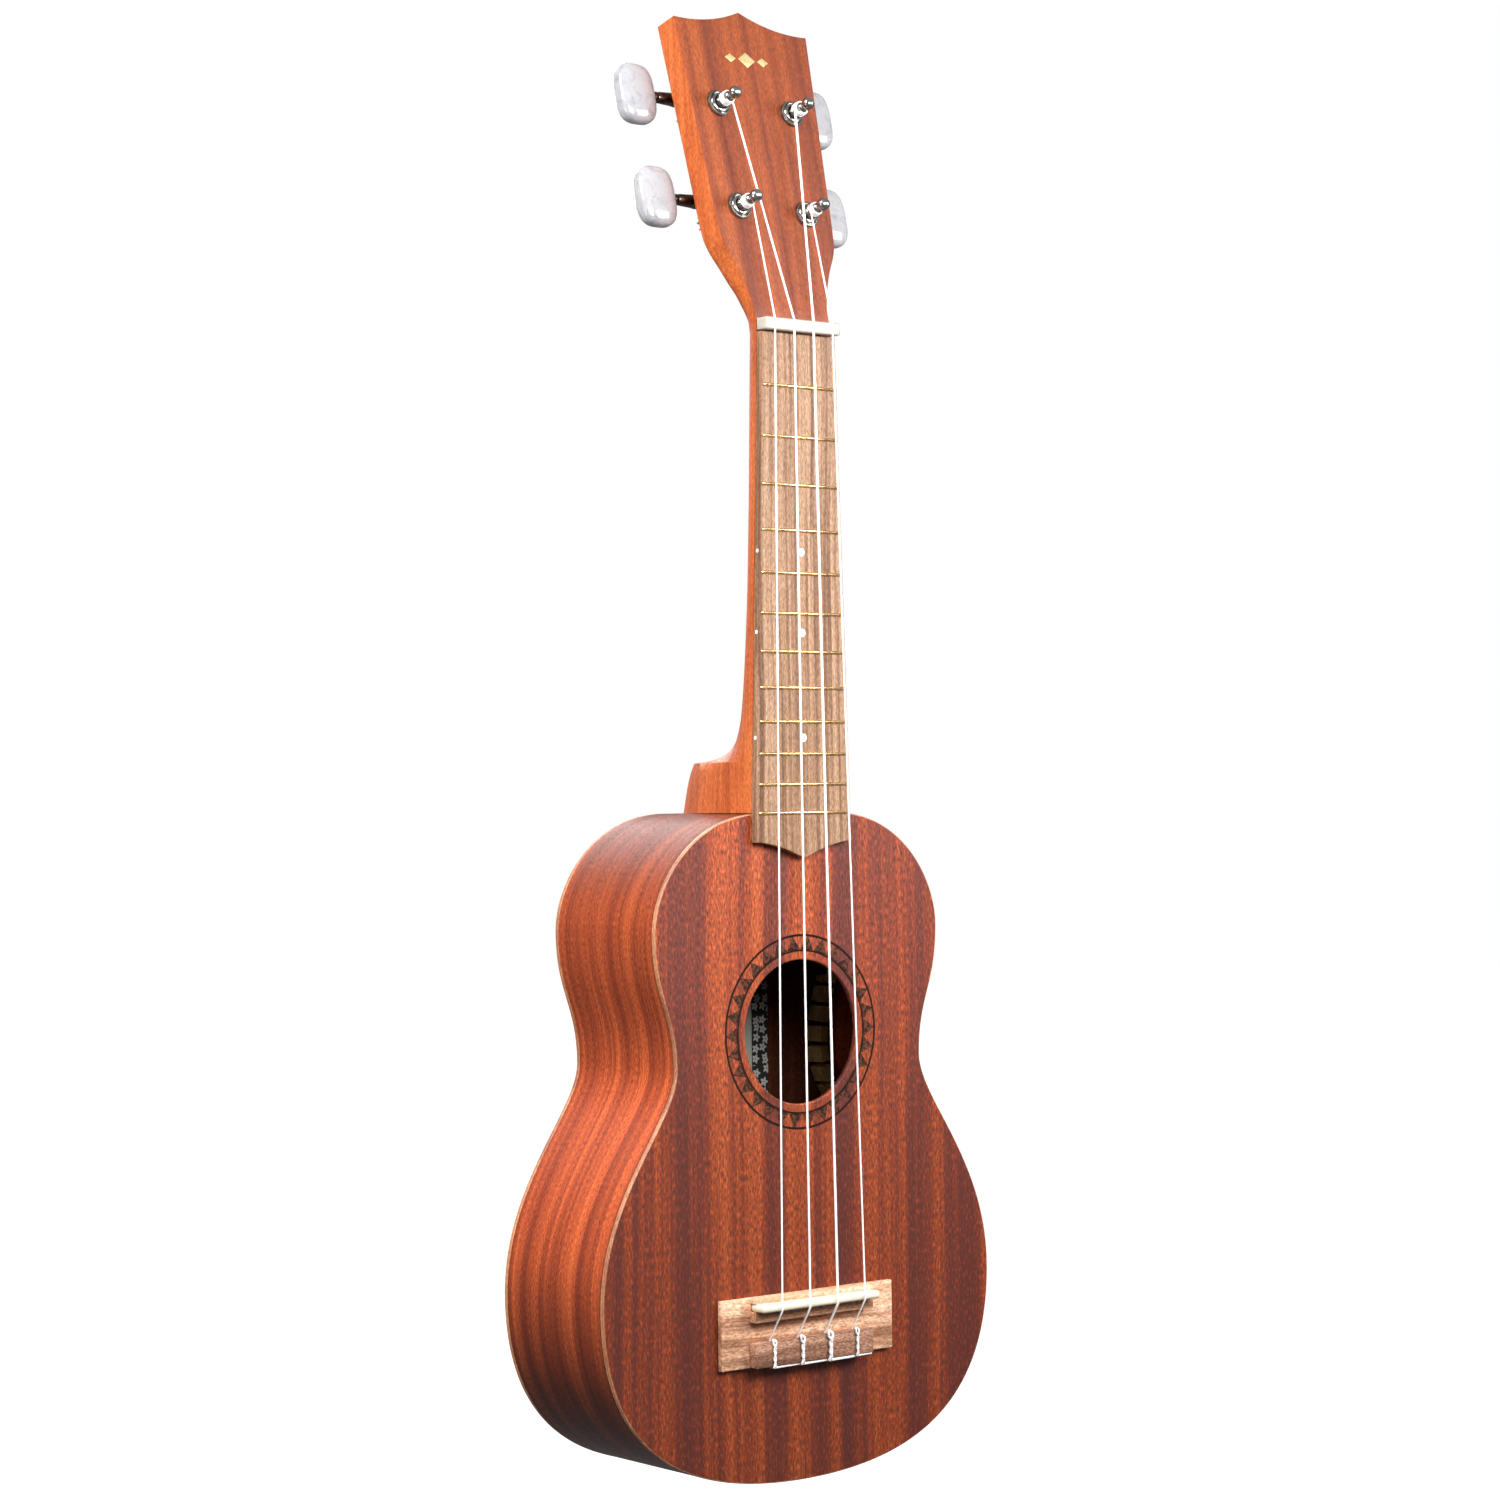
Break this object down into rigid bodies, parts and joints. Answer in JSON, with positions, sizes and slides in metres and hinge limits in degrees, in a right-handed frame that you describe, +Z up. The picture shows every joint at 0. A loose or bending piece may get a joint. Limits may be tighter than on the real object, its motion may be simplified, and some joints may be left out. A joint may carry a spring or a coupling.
{
  "type": "soprano ukulele",
  "caption": "Soprano ukulele with a hollow figure-of-eight body, round soundhole, fretted neck, tied strings and geared tuners whose buttons turn the string posts.",
  "frame": {"origin": "on the centre line of the neck's face, where the nut meets the fretboard: the point that a wall hanger's yoke holds", "axes": "+Z up the neck to the headstock, -Y out of the soundboard towards the player, +X to the viewer's right"},
  "size_m": [0.18, 0.071, 0.5353],
  "materials": {
    "top_mahogany": "satin, straight ribbon grain",
    "back_mahogany": "satin, straight grain",
    "side_mahogany": "satin",
    "neck_mahogany": "satin",
    "fretboard_walnut": "open-pored, oiled",
    "bridge_walnut": "open-pored, oiled",
    "lining_wood": "bare, sanded",
    "bone": "polished ivory-coloured",
    "fret_wire": "polished",
    "string_nylon": "translucent white",
    "tuner_nickel": "polished plating",
    "tuner_dark": "dark polished plating",
    "gear_brass": "cut, bare",
    "tuner_pearl": "pearl"
  },
  "bodies": {
    "instrument": {"soundboard": "top_mahogany", "back": "back_mahogany", "rib_left": "side_mahogany", "rib_right": "side_mahogany", "neck_block": "lining_wood", "tail_block": "lining_wood", "top_lining_left": "lining_wood", "top_lining_right": "lining_wood", "back_lining_left": "lining_wood", "back_lining_right": "lining_wood", "top_brace_upper": "lining_wood", "top_brace_lower": "lining_wood", "back_brace_upper": "lining_wood", "back_brace_lower": "lining_wood", "neck": "neck_mahogany", "heel": "neck_mahogany", "fretboard": "fretboard_walnut", "fret_01": "fret_wire", "fret_02": "fret_wire", "fret_03": "fret_wire", "fret_04": "fret_wire", "fret_05": "fret_wire", "fret_06": "fret_wire", "fret_07": "fret_wire", "fret_08": "fret_wire", "fret_09": "fret_wire", "fret_10": "fret_wire", "fret_11": "fret_wire", "fret_12": "fret_wire", "nut": "bone", "bridge": "bridge_walnut", "saddle": "bone", "string_1": "string_nylon", "string_2": "string_nylon", "string_3": "string_nylon", "string_4": "string_nylon", "tuner_plate_left_lower": "tuner_dark", "bushing_left_lower": "tuner_nickel", "tuner_plate_right_lower": "tuner_dark", "bushing_right_lower": "tuner_nickel", "tuner_plate_left_upper": "tuner_dark", "bushing_left_upper": "tuner_nickel", "tuner_plate_right_upper": "tuner_dark", "bushing_right_upper": "tuner_nickel"},
    "left_lower_button": {"worm_shaft_left_lower": "tuner_dark", "button_left_lower": "tuner_pearl"},
    "left_lower_post": {"post_left_lower": "tuner_nickel", "gear_left_lower": "gear_brass"},
    "right_lower_button": {"worm_shaft_right_lower": "tuner_dark", "button_right_lower": "tuner_pearl"},
    "right_lower_post": {"post_right_lower": "tuner_nickel", "gear_right_lower": "gear_brass"},
    "left_upper_button": {"worm_shaft_left_upper": "tuner_dark", "button_left_upper": "tuner_pearl"},
    "left_upper_post": {"post_left_upper": "tuner_nickel", "gear_left_upper": "gear_brass"},
    "right_upper_button": {"worm_shaft_right_upper": "tuner_dark", "button_right_upper": "tuner_pearl"},
    "right_upper_post": {"post_right_upper": "tuner_nickel", "gear_right_upper": "gear_brass"}
  },
  "joints": [
    {"name": "left_lower_button_turn", "type": "hinge", "parent": "instrument", "child": "left_lower_button", "pos_m": [-0.0158, 0.02824, 0.04988], "axis": [1, 0, 0], "continuous": true},
    {"name": "left_lower_post_turn", "type": "hinge", "parent": "instrument", "child": "left_lower_post", "pos_m": [-0.0158, 0.01065, 0.04643], "axis": [0, -0.9703, 0.2419], "continuous": true},
    {"name": "right_lower_button_turn", "type": "hinge", "parent": "instrument", "child": "right_lower_button", "pos_m": [0.0158, 0.02824, 0.04988], "axis": [1, 0, 0], "continuous": true},
    {"name": "right_lower_post_turn", "type": "hinge", "parent": "instrument", "child": "right_lower_post", "pos_m": [0.0158, 0.01065, 0.04643], "axis": [0, -0.9703, 0.2419], "continuous": true},
    {"name": "left_upper_button_turn", "type": "hinge", "parent": "instrument", "child": "left_upper_button", "pos_m": [-0.0172, 0.03787, 0.0885], "axis": [1, 0, 0], "continuous": true},
    {"name": "left_upper_post_turn", "type": "hinge", "parent": "instrument", "child": "left_upper_post", "pos_m": [-0.0172, 0.02028, 0.08505], "axis": [0, -0.9703, 0.2419], "continuous": true},
    {"name": "right_upper_button_turn", "type": "hinge", "parent": "instrument", "child": "right_upper_button", "pos_m": [0.0172, 0.03787, 0.0885], "axis": [1, 0, 0], "continuous": true},
    {"name": "right_upper_post_turn", "type": "hinge", "parent": "instrument", "child": "right_upper_post", "pos_m": [0.0172, 0.02028, 0.08505], "axis": [0, -0.9703, 0.2419], "continuous": true}
  ],
  "couplings": [
    {"joint": "left_lower_post_turn", "follows": "left_lower_button_turn", "ratio": 0.071429},
    {"joint": "right_lower_post_turn", "follows": "right_lower_button_turn", "ratio": 0.071429},
    {"joint": "left_upper_post_turn", "follows": "left_upper_button_turn", "ratio": 0.071429},
    {"joint": "right_upper_post_turn", "follows": "right_upper_button_turn", "ratio": 0.071429}
  ]
}
